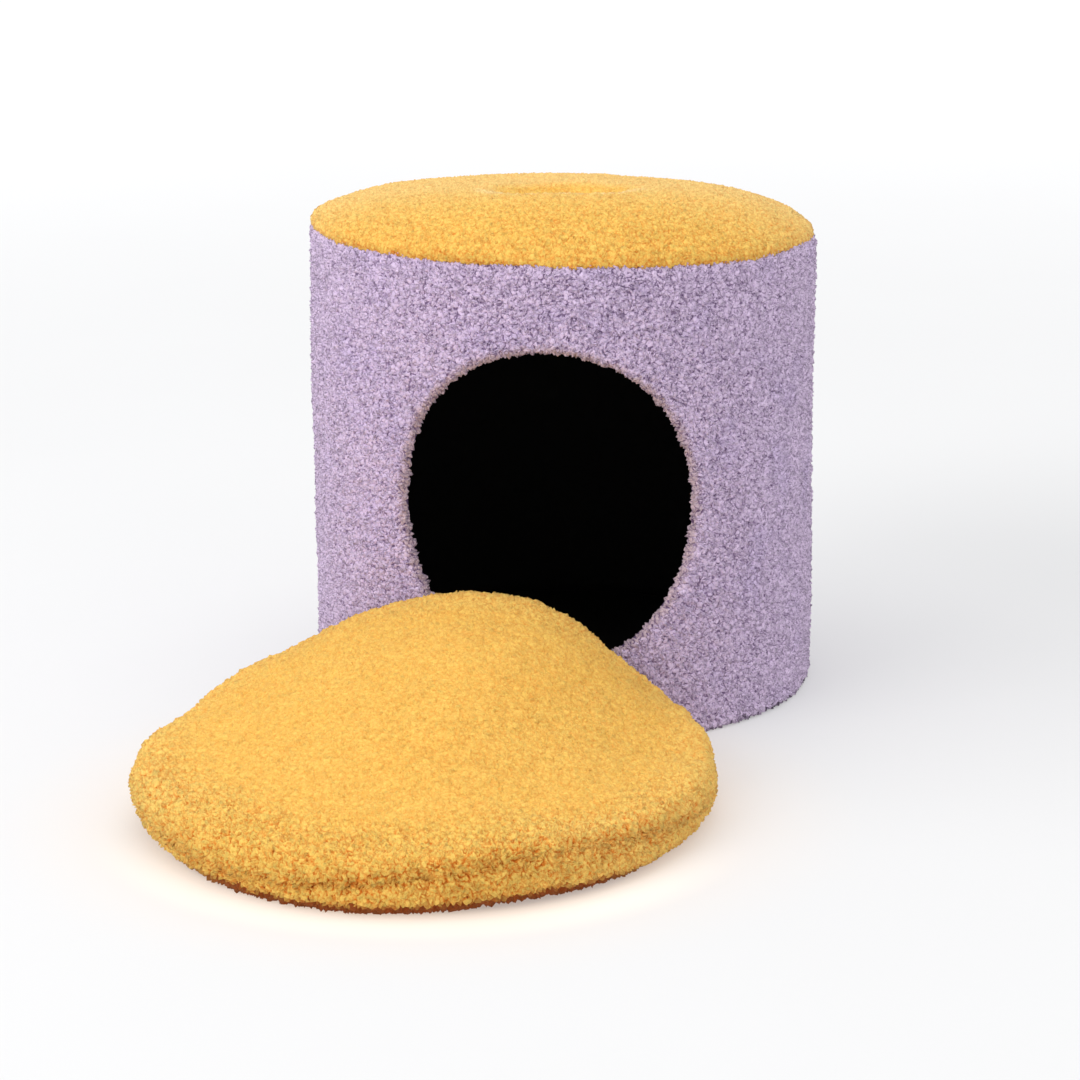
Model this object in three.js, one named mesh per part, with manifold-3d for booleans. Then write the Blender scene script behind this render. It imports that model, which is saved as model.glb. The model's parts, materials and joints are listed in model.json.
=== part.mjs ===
// Cat bed: a round upholstered den with a crowned top pad, a round doorway and a loose cushion.
// Millimetres, +Z up. The origin is the centre of the base's underside; the doorway faces -Y.
import * as THREE from "three";
import { mergeVertices } from "three/addons/utils/BufferGeometryUtils.js";
import Module from "manifold-3d";

// ---- Driving dimensions ----
const DEN_RADIUS = 200;          // outside of the wall, to the tips of the pile
const SEAM_HEIGHT = 370.3;       // seam between wall and top pad, at the den's axis
const SEAM_LEAN_X = -0.0255;     // the seam runs this much lower per millimetre towards +X
const SEAM_LEAN_Y = -0.019;      // and towards the back
const WALL_THICKNESS = 12;       // cover with its padding
const DOOR_RADIUS = 119.5;       // round in the flat cloth, before it is bent round the den
const DOOR_HEIGHT = 183;         // centre of the doorway
const PAD_RADIUS = 197;          // the top pad stands just inside the wall's pile
const CUSHION_RADIUS = 210.5;
const CUSHION_THICKNESS = 42.6;  // at the edge, before the crown

// ---- Shared sizes ----
const SEAT_GAP = 0.3;            // between pieces that touch
const LINING_THICKNESS = 2.4;
const BASE_THICKNESS = 7.7;
const ROUND_STEPS = 72;          // flats round the den
const DOOR_STEPS = 60;           // flats round the doorway
const CUSHION_STEPS = 84;        // flats round the cushion
const WALL_INNER_RADIUS = DEN_RADIUS - WALL_THICKNESS;
const LINING_OUTER_RADIUS = WALL_INNER_RADIUS - SEAT_GAP;
const LINING_INNER_RADIUS = LINING_OUTER_RADIUS - LINING_THICKNESS;
const FLOOR_UNDERSIDE = BASE_THICKNESS + SEAT_GAP;
const FLOOR_TOP = FLOOR_UNDERSIDE + LINING_THICKNESS;
const LEAN_FROM = 60;            // below this height the wall is level all round

const wasm = await Module();
wasm.setup();

// ---- Small helpers ----
const clamp01 = (t) => Math.min(Math.max(t, 0), 1);
const smooth = (t) => clamp01(t) * clamp01(t) * (3 - 2 * clamp01(t));
const v2 = (x, y) => new THREE.Vector2(x, y);

// Moves every vertex of a geometry by a rule that takes and returns a Vector3.
function reshape(geometry, rule) {
  const position = geometry.attributes.position;
  const point = new THREE.Vector3();
  for (let i = 0; i < position.count; i += 1) {
    rule(point.fromBufferAttribute(position, i));
    position.setXYZ(i, point.x, point.y, point.z);
  }
  return geometry;
}

// A closed geometry of revolution about +Z from a profile of (radius, height) points, lowest first.
function turned(profile, steps) {
  return new THREE.LatheGeometry(profile, steps).rotateX(Math.PI / 2);
}

// One closed geometry with shared vertices, and nothing but positions.
function welded(geometry) {
  const bare = geometry.clone();
  bare.deleteAttribute("normal");
  bare.deleteAttribute("uv");
  return mergeVertices(bare, 1e-3);
}

function toManifold(geometry) {
  const source = welded(geometry);
  return new wasm.Manifold(new wasm.Mesh({
    numProp: 3,
    vertProperties: new Float32Array(source.attributes.position.array),
    triVerts: new Uint32Array(source.index.array),
  }));
}

function toGeometry(solid) {
  const mesh = solid.getMesh();
  const geometry = new THREE.BufferGeometry();
  geometry.setAttribute("position", new THREE.BufferAttribute(mesh.vertProperties, 3));
  geometry.setIndex(new THREE.BufferAttribute(mesh.triVerts, 1));
  geometry.computeVertexNormals();
  return geometry;
}

// Adds a quarter-round corner to a profile, from one angle to another about a centre.
function addCorner(profile, centre, radius, fromAngle, toAngle, steps) {
  for (let i = 0; i <= steps; i += 1) {
    const angle = fromAngle + ((toAngle - fromAngle) * i) / steps;
    profile.push(v2(centre.x + radius * Math.cos(angle), centre.y + radius * Math.sin(angle)));
  }
}

function part(name, geometry, colour, roughness) {
  const material = new THREE.MeshStandardMaterial({ color: colour, roughness, metalness: 0 });
  const mesh = new THREE.Mesh(geometry, material);
  mesh.name = name;
  return mesh;
}

// ---- The den ----

// How far the leaning seam stands above its height at the axis.
function seamRise(x, y) {
  return SEAM_LEAN_X * x + SEAM_LEAN_Y * y;
}

// The wall grows taller towards the seam's high side; its foot stays level.
function lean(point) {
  const share = smooth((point.z - LEAN_FROM) / (SEAM_HEIGHT - LEAN_FROM));
  point.z += seamRise(point.x, point.y) * share;
}

// A round plug with flared ends, as deep as the wall and bent round the den. It cuts the doorway, and
// its flares leave the doorway's edge rolled in, as the turned-in cloth lies.
function doorwayPlug(radius, rollRadius) {
  const reach = 20;
  const rollSteps = 3;
  const edge = radius + rollRadius;
  const profile = [v2(0, -reach), v2(edge, -reach)];
  addCorner(profile, v2(edge, rollRadius), rollRadius, -Math.PI / 2, -Math.PI, rollSteps);
  const straightEnd = WALL_THICKNESS - rollRadius;
  addCorner(profile, v2(edge, straightEnd), rollRadius, Math.PI, Math.PI / 2, rollSteps);
  profile.push(v2(edge, WALL_THICKNESS + reach), v2(0, WALL_THICKNESS + reach));
  const plug = turned(profile, DOOR_STEPS);
  return reshape(plug, (point) => {
    const along = point.x;
    const depth = point.z;
    const height = DOOR_HEIGHT - point.y;
    const angle = along / DEN_RADIUS;
    const distance = DEN_RADIUS - depth;
    point.set(distance * Math.sin(angle), -distance * Math.cos(angle), height);
  });
}

function wallCover() {
  const cornerRadius = 5;
  const cornerSteps = 3;
  const outer = DEN_RADIUS - cornerRadius;
  const top = SEAM_HEIGHT - SEAT_GAP;
  const profile = [v2(WALL_INNER_RADIUS, 0)];
  addCorner(profile, v2(outer, cornerRadius), cornerRadius, -Math.PI / 2, 0, cornerSteps);
  profile.push(v2(DEN_RADIUS, LEAN_FROM), v2(DEN_RADIUS, (LEAN_FROM + top) / 2));
  addCorner(profile, v2(outer, top - cornerRadius), cornerRadius, 0, Math.PI / 2, cornerSteps);
  profile.push(v2(WALL_INNER_RADIUS, top));
  profile.push(v2(WALL_INNER_RADIUS, (LEAN_FROM + top) / 2), v2(WALL_INNER_RADIUS, LEAN_FROM));
  profile.push(v2(WALL_INNER_RADIUS, 0));
  const tube = reshape(turned(profile, ROUND_STEPS), lean);
  return toGeometry(toManifold(tube).subtract(toManifold(doorwayPlug(DOOR_RADIUS, cornerRadius))));
}

function liningWall() {
  const low = FLOOR_TOP + SEAT_GAP;
  const high = SEAM_HEIGHT - 2 * SEAT_GAP - LINING_THICKNESS;
  const middle = (LEAN_FROM + high) / 2;
  const profile = [v2(LINING_INNER_RADIUS, low), v2(LINING_OUTER_RADIUS, low)];
  profile.push(v2(LINING_OUTER_RADIUS, LEAN_FROM), v2(LINING_OUTER_RADIUS, middle));
  profile.push(v2(LINING_OUTER_RADIUS, high), v2(LINING_INNER_RADIUS, high));
  profile.push(v2(LINING_INNER_RADIUS, middle), v2(LINING_INNER_RADIUS, LEAN_FROM));
  profile.push(v2(LINING_INNER_RADIUS, low));
  const tube = reshape(turned(profile, ROUND_STEPS), lean);
  const backFromRim = 2;
  const rollRadius = 5;
  const plug = doorwayPlug(DOOR_RADIUS + backFromRim, rollRadius);
  return toGeometry(toManifold(tube).subtract(toManifold(plug)));
}

// A flat round piece between two heights.
function disc(radius, low, high) {
  const profile = [v2(0, low), v2(radius, low), v2(radius, high), v2(0, high)];
  return turned(profile, ROUND_STEPS);
}

function liningCeiling() {
  const high = SEAM_HEIGHT - SEAT_GAP;
  return reshape(disc(LINING_OUTER_RADIUS, high - LINING_THICKNESS, high), lean);
}

// ---- The top pad ----

const pad = {
  edgeRise: 14,        // rounded shoulder above the seam
  shoulderPower: 5,    // how late the shoulder turns down
  shoulderFullness: 0.75,
  dome: 15.5,          // further rise to the middle
  frontLift: 0.088,    // the filling lies thicker towards the doorway
  dishDepth: 14.5,
  dishRadius: 60,
  dishSteepness: 1.5,
};

// Height of the pad's top above the seam. The dish has a soft lip all round.
function padHeight(x, y) {
  const share = Math.min(Math.hypot(x, y) / PAD_RADIUS, 1);
  const inside = 1 - share * share;
  const shoulder = pad.edgeRise * (1 - share ** pad.shoulderPower) ** pad.shoulderFullness;
  const fromMiddle = Math.hypot(x, y) / pad.dishRadius;
  const dish = pad.dishDepth * Math.exp(-pad.dishSteepness * fromMiddle ** 4);
  return shoulder + pad.dome * inside - pad.frontLift * y * inside - dish;
}

function topPad() {
  const drawnIn = 3;              // the seam pulls the pad's lower edge in
  const ringShares = [0.985, 0.96, 0.92, 0.86, 0.76, 0.64, 0.52, 0.43, 0.35, 0.28, 0.2, 0.1];
  const topMark = 1;              // rings of the top carry this height until they are shaped
  const profile = [v2(0, 0), v2(PAD_RADIUS - drawnIn, 0), v2(PAD_RADIUS, topMark)];
  ringShares.forEach((share) => profile.push(v2(PAD_RADIUS * share, topMark)));
  profile.push(v2(0, topMark));
  return reshape(turned(profile, ROUND_STEPS), (point) => {
    const onTop = point.z > topMark / 2;
    const rimHeight = 2;          // the pad's edge stands this much above the seam
    point.z = SEAM_HEIGHT + (onTop ? rimHeight + padHeight(point.x, point.y) : 0);
    point.z += seamRise(point.x, point.y);
  });
}

// ---- The cushion ----

const rest = {
  x: -76,              // where the middle of the cushion lies on the floor
  y: -345.5,
  wallLimit: 183.2,    // the edge that is pushed against the den follows this radius
  lift: 88,            // how high the den props the pushed edge
  liftFrom: -190,      // the cushion leaves the floor this far from its middle
  liftSide: 10,        // the lift is highest this far to the right of the line to the den
  spreadLeft: 254,     // and fades to nothing this far to each side of that
  spreadRight: 154,
  crown: 10,
  seamDepth: 3,
};
const toDen = Math.atan2(-rest.y, -rest.x);
const denDistance = Math.hypot(rest.x, rest.y);

// Slack stretches of the edge stand a little off the floor. Angles are in radians round the middle.
const slackStretches = [
  { angle: -0.95, spread: 0.75, lift: 4 },
  { angle: -2.98, spread: 0.9, lift: 8 },
];

// The edge isn't quite round: it swells and shrinks this many times round, by this much.
const edgeSwells = [
  { times: 2, swell: 3.7 },
  { times: 3, swell: 4.4 },
];

// A smooth bump of height 1 at zero, gone at plus and minus 1.
const bump = (t) => 0.5 * (1 + Math.cos(Math.PI * clamp01(Math.abs(t))));

// The turn between two directions, never more than half a circle.
const turnBetween = (a, b) => Math.abs(Math.atan2(Math.sin(a - b), Math.cos(a - b)));

// Height that the underside of the cushion stands at over a place in plan, from the cushion's middle.
function propped(x, y) {
  const forward = x * Math.cos(toDen) + y * Math.sin(toDen);
  const sideways = x * Math.sin(toDen) - y * Math.cos(toDen) - rest.liftSide;
  const pushedReach = denDistance - DEN_RADIUS;
  const climb = Math.max((forward - rest.liftFrom) / (pushedReach - rest.liftFrom), 0);
  const hollowed = 0.5 * (smooth(climb) + climb * climb);
  const profile = climb < 1 ? hollowed : climb;
  const across = bump(sideways / (sideways < 0 ? rest.spreadLeft : rest.spreadRight));
  const outer = smooth((2 * Math.hypot(x, y)) / CUSHION_RADIUS - 1);
  let slack = 0;
  slackStretches.forEach(({ angle, spread, lift }) => {
    slack += lift * bump(turnBetween(Math.atan2(y, x), angle) / spread);
  });
  return rest.lift * profile * across + slack * outer;
}

// How far the cushion's edge lies from its middle in one direction. It is nearly round, but where it
// meets the den it is pushed back along the wall.
function edgeReach(angle) {
  let free = CUSHION_RADIUS;
  edgeSwells.forEach(({ times, swell }) => {
    free += swell * Math.sin(times * angle);
  });
  const turn = turnBetween(angle, toDen);
  const tangentTurn = Math.asin(rest.wallLimit / denDistance);
  const inside = Math.min(turn, tangentTurn);
  const across = denDistance * Math.sin(inside);
  const behind = Math.sqrt(Math.max(rest.wallLimit ** 2 - across ** 2, 0));
  const toWall = denDistance * Math.cos(inside) - behind;
  const openingOut = 1.2;        // past the den the limit swings away this fast
  const swing = Math.min(openingOut * (turn - inside), 1.5);
  const limit = toWall / Math.cos(swing);
  const cornering = 5;           // the higher, the tighter the corner between the two
  return (free ** -cornering + limit ** -cornering) ** (-1 / cornering);
}

// Section of the cushion from the middle of its underside to the middle of its top: how far in from
// the edge, or what share of the way to the edge, and how high.
function cushionSection() {
  const half = CUSHION_THICKNESS / 2;
  const section = [{ share: 0, inset: 0, height: 0 }, { share: 0.5, inset: 0, height: 0 }];
  const flank = [-90, -60, -35, -14, 0, 14, 35, 60, 90];
  const fullness = { above: 0.75, below: 1.2 };
  flank.forEach((degrees) => {
    const angle = THREE.MathUtils.degToRad(degrees);
    const bulge = Math.abs(Math.cos(angle)) ** (degrees < 0 ? fullness.below : fullness.above);
    const rise = degrees < 0 ? Math.sin(angle) : Math.sin(angle) ** fullness.above;
    const drawnIn = degrees === 0 ? rest.seamDepth : 0;
    section.push({ share: 1, inset: half * (1 - bulge) + drawnIn, height: half * (1 + rise) });
  });
  [0.8, 0.6, 0.4, 0.2, 0].forEach((share) => {
    const height = CUSHION_THICKNESS + rest.crown * (1 - share * share);
    section.push({ share, inset: half * share, height });
  });
  return section;
}

function cushion() {
  const section = cushionSection();
  const profile = section.map((row, index) => v2(row.share === 0 ? 0 : 1, index));
  const blank = turned(profile, CUSHION_STEPS);
  const slopeStep = 0.1;
  return reshape(blank, (point) => {
    const row = section[Math.round(point.z)];
    const angle = Math.atan2(point.y, point.x);
    const distance = row.share * edgeReach(angle) - row.inset;
    const x = distance * Math.cos(angle);
    const y = distance * Math.sin(angle);
    const base = propped(x, y);
    const slopeX = (propped(x + slopeStep, y) - base) / slopeStep;
    const slopeY = (propped(x, y + slopeStep) - base) / slopeStep;
    const steepness = Math.hypot(slopeX, slopeY, 1);
    const up = row.height / steepness;
    point.set(rest.x + x - slopeX * up, rest.y + y - slopeY * up, base + up);
  });
}

// ---- The whole bed ----
const LILAC = 0xb79fc0;
const YELLOW = 0xf3be5f;
const BLACK = 0x0b0a0a;
const PILE_ROUGHNESS = 0.95;
const LINING_ROUGHNESS = 0.9;

const catBed = new THREE.Group();
catBed.add(
  part("wall_cover", wallCover(), LILAC, PILE_ROUGHNESS),
  part("top_pad", welded(topPad()), YELLOW, PILE_ROUGHNESS),
  part("lining_wall", liningWall(), BLACK, LINING_ROUGHNESS),
  part("lining_ceiling", welded(liningCeiling()), BLACK, LINING_ROUGHNESS),
  part("lining_floor", welded(disc(LINING_OUTER_RADIUS, FLOOR_UNDERSIDE, FLOOR_TOP)), BLACK, LINING_ROUGHNESS),
  part("base_panel", welded(disc(LINING_OUTER_RADIUS, 0, BASE_THICKNESS)), BLACK, LINING_ROUGHNESS),
  part("cushion", welded(cushion()), YELLOW, PILE_ROUGHNESS),
);

export default catBed;
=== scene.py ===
"""Cat bed: a round upholstered den with a crowned top pad, a round doorway and a loose cushion.

Metres, +Z up. The origin is the centre of the den's underside, and the doorway faces -Y.
"""

from __future__ import annotations

import json
import logging
import math
from dataclasses import dataclass
from enum import Enum
from typing import Any, Sequence

import bmesh
import bpy
import numpy as np
from mathutils import Matrix, Vector, noise

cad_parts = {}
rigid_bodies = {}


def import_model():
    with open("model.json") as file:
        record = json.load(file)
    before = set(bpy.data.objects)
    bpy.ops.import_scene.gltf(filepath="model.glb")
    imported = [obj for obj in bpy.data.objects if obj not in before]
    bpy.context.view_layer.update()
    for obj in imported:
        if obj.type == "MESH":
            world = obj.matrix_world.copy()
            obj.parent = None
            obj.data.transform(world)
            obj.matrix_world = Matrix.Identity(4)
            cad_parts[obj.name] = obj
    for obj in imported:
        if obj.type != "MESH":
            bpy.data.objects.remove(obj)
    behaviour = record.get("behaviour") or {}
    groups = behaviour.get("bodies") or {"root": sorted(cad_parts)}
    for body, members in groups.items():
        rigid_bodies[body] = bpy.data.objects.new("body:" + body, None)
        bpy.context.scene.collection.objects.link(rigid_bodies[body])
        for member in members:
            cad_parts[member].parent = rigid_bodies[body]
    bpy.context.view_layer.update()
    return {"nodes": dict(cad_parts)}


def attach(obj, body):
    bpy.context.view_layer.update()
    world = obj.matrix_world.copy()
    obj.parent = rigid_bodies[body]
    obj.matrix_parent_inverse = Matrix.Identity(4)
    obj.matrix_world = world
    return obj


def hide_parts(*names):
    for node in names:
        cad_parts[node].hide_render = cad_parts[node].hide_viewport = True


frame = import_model()

log = logging.getLogger("cat_bed")
Colour = tuple[float, float, float]
BODY = "root"
MM = 0.001
FULL_TURN = 2.0 * math.pi
FLOOR_GAP = 0.2 * MM
DOORWAY_HEM = 7 * MM


# ---- Small helpers ----


def smooth(t: np.ndarray) -> np.ndarray:
    """Ramp from 0 to 1 with soft ends."""
    t = np.clip(t, 0.0, 1.0)
    return t * t * (3.0 - 2.0 * t)


def bump(t: np.ndarray) -> np.ndarray:
    """A soft hump of height 1 at zero, gone at plus and minus 1."""
    return 0.5 * (1.0 + np.cos(np.pi * np.clip(np.abs(t), 0.0, 1.0)))


def turn_between(a: np.ndarray, b: float) -> np.ndarray:
    """The turn between two directions, never more than half a circle."""
    return np.abs(np.arctan2(np.sin(a - b), np.cos(a - b)))


def drift(points: np.ndarray, size: float, seed: float) -> np.ndarray:
    """Slow unevenness of handmade cloth.

    Args:
        points: places, one row each.
        size: how far apart the swells lie.
        seed: which of many patterns.

    Returns:
        One value from about -1 to 1 for each place.
    """
    shift = Vector((seed * 17.3, seed * 5.1, seed * 29.7))
    return np.array([noise.noise(Vector(p) / size + shift) for p in points]) * 1.6


def linear(red: int, green: int, blue: int) -> Colour:
    """A shader colour from the usual 0 to 255 numbers."""
    shares = (channel / 255.0 for channel in (red, green, blue))
    return tuple(s / 12.92 if s <= 0.04045 else ((s + 0.055) / 1.055) ** 2.4 for s in shares)


def grey(level: float) -> Colour:
    """A neutral shader colour."""
    return (level, level, level)


def circle(count: int) -> np.ndarray:
    """Evenly spaced places on a circle of radius 1."""
    angles = np.arange(count) * FULL_TURN / count
    return np.stack([np.cos(angles), np.sin(angles)], 1)


def ring_numbers(rings: int, count: int) -> list[list[int]]:
    """Vertex numbers of rings that follow one another."""
    return [[ring * count + i for i in range(count)] for ring in range(rings)]


def join_quads(rows: Sequence[Sequence[int]], closed: bool) -> list[tuple[int, int, int, int]]:
    """Quads between neighbouring rows of vertex numbers.

    Args:
        rows: rows of equal length.
        closed: whether each row runs all the way round.

    Returns:
        The quads as vertex numbers.
    """
    quads = []
    for low, high in zip(rows, rows[1:]):
        count = len(low)
        for i in range(count if closed else count - 1):
            j = (i + 1) % count
            quads.append((low[i], low[j], high[j], high[i]))
    return quads


def cap(ring: Sequence[int], tip: int, under: bool = False) -> list[tuple[int, int, int]]:
    """Triangles that close a ring of vertices at its middle.

    Args:
        ring: the ring's vertex numbers.
        tip: the number of the vertex in its middle.
        under: whether the triangles face down.

    Returns:
        The triangles as vertex numbers.
    """
    pairs = zip(ring, [*ring[1:], ring[0]])
    return [(after, before, tip) if under else (before, after, tip) for before, after in pairs]


def closed_rings(rings: int, count: int) -> list:
    """Faces of a closed piece made of rings.

    Args:
        rings: how many rings, from the underside to the top.
        count: how many vertices each has.

    Returns:
        The faces as vertex numbers, with one more vertex under the first ring and one on the last.
    """
    numbers = ring_numbers(rings, count)
    under = rings * count
    return join_quads(numbers, closed=True) + cap(numbers[0], under, under=True) + cap(numbers[-1], under + 1)


def new_piece(name: str, points: np.ndarray, faces: list, outward: bool = True) -> bpy.types.Object:
    """Makes a smooth piece in the shared frame.

    Args:
        name: the piece's name.
        points: its vertices.
        faces: its faces as vertex numbers.
        outward: whether the piece is closed and its faces are turned to point outwards.

    Returns:
        The new object, at the origin.
    """
    mesh = bpy.data.meshes.new(name)
    mesh.from_pydata(points.tolist(), [], faces)
    if outward:
        turn_outward(mesh)
    mesh.polygons.foreach_set("use_smooth", np.ones(len(mesh.polygons), bool))
    return linked(bpy.data.objects.new(name, mesh))


def linked(item: bpy.types.Object) -> bpy.types.Object:
    """Puts an object in the scene and gives it back."""
    bpy.context.scene.collection.objects.link(item)
    return item


def turn_outward(mesh: bpy.types.Mesh) -> None:
    """Turns a closed mesh's faces outwards.

    Args:
        mesh: the mesh, which is changed in place.
    """
    work = bmesh.new()
    work.from_mesh(mesh)
    bmesh.ops.recalc_face_normals(work, faces=work.faces)
    work.to_mesh(mesh)
    work.free()


def places(mesh: bpy.types.Mesh) -> np.ndarray:
    """Reads where the vertices of a mesh lie.

    Args:
        mesh: the mesh.

    Returns:
        The places of its vertices, one row each.
    """
    found = np.empty(len(mesh.vertices) * 3, np.float32)
    mesh.vertices.foreach_get("co", found)
    return found.reshape(-1, 3).astype(float)


def put_places(mesh: bpy.types.Mesh, points: np.ndarray) -> None:
    """Moves the vertices of a mesh."""
    mesh.vertices.foreach_set("co", points.astype(np.float32).ravel())
    mesh.update()


def swell(mesh: bpy.types.Mesh, rise: np.ndarray) -> None:
    """Moves each vertex of a mesh outwards by its own rise.

    Args:
        mesh: the mesh, which is changed in place.
        rise: how far each vertex moves, below zero for inwards.
    """
    outward = np.empty(len(mesh.vertices) * 3, np.float32)
    mesh.vertex_normals.foreach_get("vector", outward)
    put_places(mesh, places(mesh) + outward.reshape(-1, 3).astype(float) * rise[:, None])


def press_on_floor(piece: bpy.types.Object) -> None:
    """Flattens what would go below the floor.

    Args:
        piece: the piece, which is changed in place.
    """
    points = places(piece.data)
    points[:, 2] = np.maximum(points[:, 2], FLOOR_GAP)
    put_places(piece.data, points)


def mark(mesh: bpy.types.Mesh, **marks: np.ndarray) -> None:
    """Stores numbers for each vertex, which the pile and the finishes read by name.

    Args:
        mesh: the mesh.
        marks: one value for each vertex, by the name to store them under.
    """
    for name, values in marks.items():
        attribute = mesh.attributes.new(name, "FLOAT", "POINT")
        attribute.data.foreach_set("value", np.asarray(values, np.float32))


def mark_corners(mesh: bpy.types.Mesh, name: str, laid: np.ndarray) -> None:
    """Stores two numbers for each corner of a mesh."""
    attribute = mesh.attributes.new(name, "FLOAT2", "CORNER")
    attribute.data.foreach_set("vector", laid.astype(np.float32).ravel())


def mark_layout(mesh: bpy.types.Mesh, flat: np.ndarray, wraps: bool = False) -> None:
    """Stores where each corner lies on the flat cloth, from 0 to 1.

    Args:
        mesh: the base cloth.
        flat: across and along, one row for each vertex.
        wraps: whether the cloth's two ends meet, across.
    """
    corners = np.empty(len(mesh.loops), np.int32)
    mesh.loops.foreach_get("vertex_index", corners)
    laid = flat[corners].copy()
    if wraps:
        starts = np.empty(len(mesh.polygons), np.int32)
        totals = np.empty(len(mesh.polygons), np.int32)
        mesh.polygons.foreach_get("loop_start", starts)
        mesh.polygons.foreach_get("loop_total", totals)
        face_of = np.repeat(np.arange(len(starts)), totals)
        highest = np.full(len(starts), -1.0)
        np.maximum.at(highest, face_of, laid[:, 0])
        laid[:, 0] += np.where(highest[face_of] - laid[:, 0] > 0.5, 1.0, 0.0)
    mark_corners(mesh, "root_place", laid)


def report(piece: bpy.types.Object) -> None:
    """Logs a finished piece and its triangles."""
    piece.data.calc_loop_triangles()
    log.info("%s: %d triangles", piece.name, len(piece.data.loop_triangles))


# ---- Node building ----


class Term:
    """A node's output that can be used in plain sums."""

    def __init__(self, maker: "NodeMaker", socket: bpy.types.NodeSocket) -> None:
        """Wraps one output socket of the maker's tree."""
        self.maker = maker
        self.socket = socket

    def _sum(self, operation: str, first: Any, second: Any) -> "Term":
        """Adds a Math node."""
        return self.maker.term("ShaderNodeMath", {"operation": operation}, {0: first, 1: second})

    def __add__(self, other: Any) -> "Term":
        """self + other."""
        return self._sum("ADD", self, other)

    def __sub__(self, other: Any) -> "Term":
        """self - other."""
        return self._sum("SUBTRACT", self, other)

    def __rsub__(self, other: Any) -> "Term":
        """other - self."""
        return self._sum("SUBTRACT", other, self)

    def __mul__(self, other: Any) -> "Term":
        """self * other."""
        return self._sum("MULTIPLY", self, other)

    def __truediv__(self, other: Any) -> "Term":
        """self / other."""
        return self._sum("DIVIDE", self, other)

    def __rtruediv__(self, other: Any) -> "Term":
        """other / self."""
        return self._sum("DIVIDE", other, self)

    def __abs__(self) -> "Term":
        """The size of self."""
        return self._sum("ABSOLUTE", self, 0.0)

    def sine(self) -> "Term":
        """The sine of self."""
        return self._sum("SINE", self, 0.0)

    __radd__ = __add__
    __rmul__ = __mul__


class NodeMaker:
    """Adds nodes to one tree, of a material or of Geometry Nodes."""

    def __init__(self, tree: bpy.types.NodeTree) -> None:
        """Works in the given tree."""
        self.tree = tree

    def add(self, kind: str, settings: dict | None = None, inputs: dict | None = None) -> bpy.types.Node:
        """Adds a node.

        Args:
            kind: the node's type.
            settings: its own settings, which are set first.
            inputs: values or links of its sockets, by name or number.

        Returns:
            The node.
        """
        node = self.tree.nodes.new(kind)
        for key, value in (settings or {}).items():
            setattr(node, key, value)
        for key, value in (inputs or {}).items():
            if isinstance(value, Term):
                self.tree.links.new(value.socket, node.inputs[key])
            else:
                node.inputs[key].default_value = value
        return node

    def term(self, kind: str, settings: dict | None = None, inputs: dict | None = None, out: Any = 0) -> Term:
        """Adds a node and gives one of its outputs."""
        return Term(self, self.add(kind, settings, inputs).outputs[out])

    def vector(self, operation: str, inputs: dict, out: str = "Vector") -> Term:
        """Adds a Vector Math node and gives its result."""
        return self.term("ShaderNodeVectorMath", {"operation": operation}, inputs, out)

    def ramp(self, value: Term, low: float, high: float) -> Term:
        """Rises softly from 0 at low to 1 at high."""
        inputs = {"Value": value, "From Min": low, "From Max": high}
        return self.term("ShaderNodeMapRange", {"interpolation_type": "SMOOTHSTEP"}, inputs)


class Grain(Enum):
    """Even unevenness of a surface: swells to the metre, detail and roughness."""

    PATCHES = (20.0, 3.0, 0.5)
    CLUMPS = (70.0, 2.0, 0.5)
    FIBRES = (700.0, 3.0, 0.8)
    BREAKS = (260.0, 1.0, 0.5)
    PITS = (520.0, 1.0, 0.5)
    TUFTS = (260.0, 3.0, 0.5)
    LINT = (40.0, 6.0, 0.7)
    FLOOR = (3.0, 2.0, 0.5)


class Fade(Enum):
    """Value at which an unevenness starts to show, and at which it shows in full."""

    NUB = (0.0, 0.5)
    PATCHES = (0.5, 0.72)
    STRANDS = (0.0, 0.2)
    BREAKS = (0.36, 0.56)
    FURROW = (0.02, 0.22)
    KNOB = (0.0, 0.4)
    PITS = (0.34, 0.44)
    TUFTS = (0.4, 0.7)
    LINT = (0.55, 0.8)


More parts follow.
